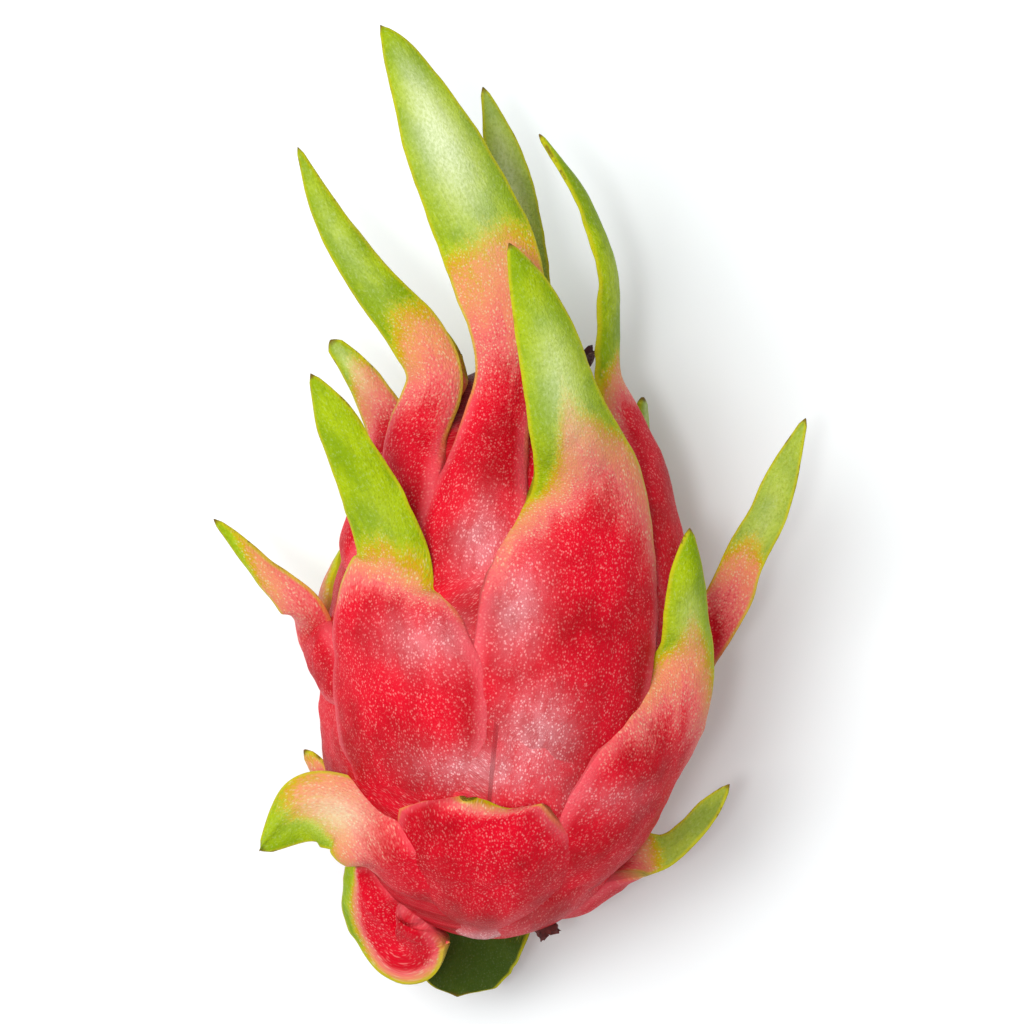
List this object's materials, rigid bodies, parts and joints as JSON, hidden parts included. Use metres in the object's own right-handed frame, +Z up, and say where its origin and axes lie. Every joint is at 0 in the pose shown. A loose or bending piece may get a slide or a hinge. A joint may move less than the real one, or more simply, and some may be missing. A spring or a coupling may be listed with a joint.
{
  "type": "dragon fruit",
  "caption": "Whole red dragon fruit lying on its side, its rind clad in raised scales that end in long curling green leaf-like bracts.",
  "frame": {"origin": "on the table, in the flat spot under the belly that the fruit rests on", "axes": "+Y along the fruit from the stem end to the crown, +Z up from the table, +X to the right when the crown points away"},
  "size_m": [0.1235, 0.2053, 0.0888],
  "materials": {
    "rind": "waxy satin skin, crimson red with fine pale flecks, paler pink where scales meet",
    "bract": "satin leaf, lime to olive green with a paler middle, peach and pink at the base, brown at the tip",
    "withered_flower": "dry, fibrous, wine brown",
    "stem": "dry, torn, brown"
  },
  "bodies": {
    "root": {"base_bract_front": "bract", "base_bract_left": "bract", "base_bract_left_low": "bract", "base_bract_right": "bract", "base_bract_under": "bract", "crown_bract_back": "bract", "crown_bract_front": "bract", "crown_bract_left": "bract", "crown_bract_left_low": "bract", "crown_bract_right": "bract", "flower_scar": "withered_flower", "fruit_body": "rind", "shoulder_bract_front": "bract", "shoulder_bract_left": "bract", "shoulder_bract_left_low": "bract", "shoulder_bract_right_low": "bract", "side_bract_front_right": "bract", "side_bract_left": "bract", "side_bract_left_low": "bract", "side_bract_left_mid": "bract", "side_bract_right": "bract", "stem_stub": "stem", "under_bract_base_left": "bract", "under_bract_base_right": "bract", "under_bract_crown": "bract", "under_bract_crown_left": "bract", "under_bract_crown_right": "bract", "under_bract_left": "bract", "under_bract_middle": "bract", "under_bract_right": "bract"}
  },
  "joints": []
}
